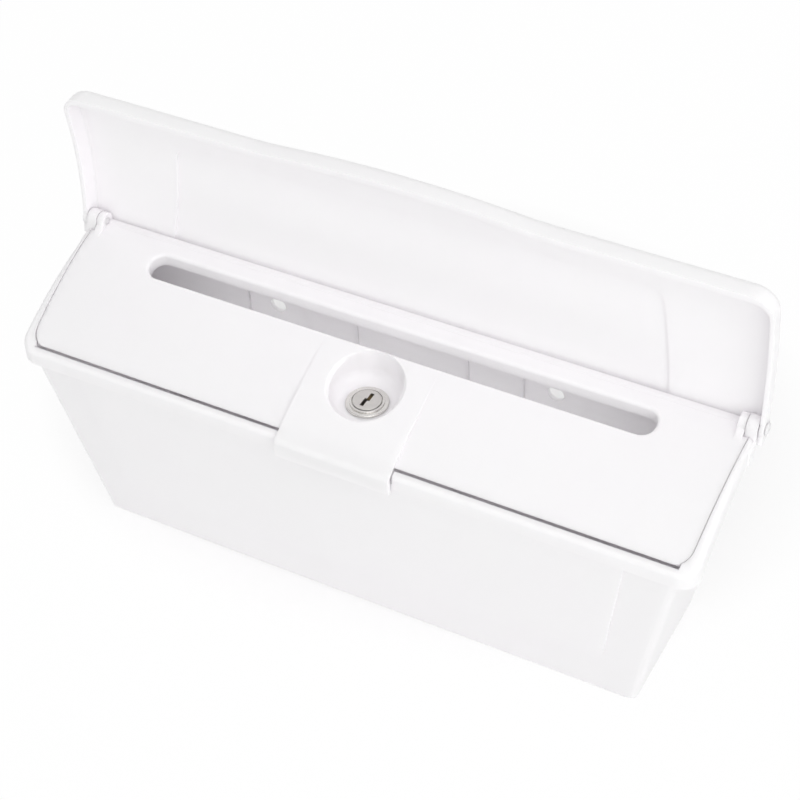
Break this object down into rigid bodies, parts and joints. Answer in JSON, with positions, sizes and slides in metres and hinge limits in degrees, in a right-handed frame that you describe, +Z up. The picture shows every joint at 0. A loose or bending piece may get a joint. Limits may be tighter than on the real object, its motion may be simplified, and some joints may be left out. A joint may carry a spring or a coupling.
{
  "type": "donation box",
  "caption": "White plastic wall box for letters or donations: tapered bin, lockable inner lid with a posting slot, and a hinged outer lid that stands open.",
  "frame": {"origin": "middle of the flat base", "axes": "+X along the long side, -Y towards the front with the lock, +Z up"},
  "size_m": [0.3978, 0.0953, 0.2406],
  "materials": {
    "shell": "satin moulded white",
    "pin": "satin moulded white",
    "bright_metal": "bright nickel",
    "satin_metal": "satin nickel",
    "plated_steel": "zinc plated",
    "brass": "stamped"
  },
  "bodies": {
    "bin": {"bin": "shell", "hinge_pin_left": "pin", "hinge_pin_right": "pin"},
    "inner_lid": {"inner_lid": "shell", "lock_housing": "bright_metal", "lock_nut": "plated_steel", "lock_washer": "plated_steel"},
    "outer_lid": {"outer_lid": "shell"},
    "lock_plug": {"lock_plug": "satin_metal", "stop_washer": "plated_steel", "cam": "plated_steel", "cam_washer": "plated_steel", "cam_screw": "plated_steel", "wafer_1": "brass", "wafer_2": "brass", "wafer_3": "brass", "wafer_4": "brass", "wafer_5": "brass", "wafer_spring_1": "plated_steel", "wafer_spring_2": "plated_steel", "wafer_spring_3": "plated_steel", "wafer_spring_4": "plated_steel", "wafer_spring_5": "plated_steel"}
  },
  "joints": [
    {"name": "inner_lid_hinge", "type": "hinge", "parent": "bin", "child": "inner_lid", "pos_m": [0, 0.029, 0.1525], "axis": [-1, 0, 0], "range_deg": [0, 65]},
    {"name": "outer_lid_hinge", "type": "hinge", "parent": "inner_lid", "child": "outer_lid", "pos_m": [0, 0.029, 0.1525], "axis": [1, 0, 0], "range_deg": [0, 106]},
    {"name": "lock_turn", "type": "hinge", "parent": "inner_lid", "child": "lock_plug", "pos_m": [0, -0.0136, 0.115], "axis": [0, 0, -1], "range_deg": [0, 90]}
  ]
}
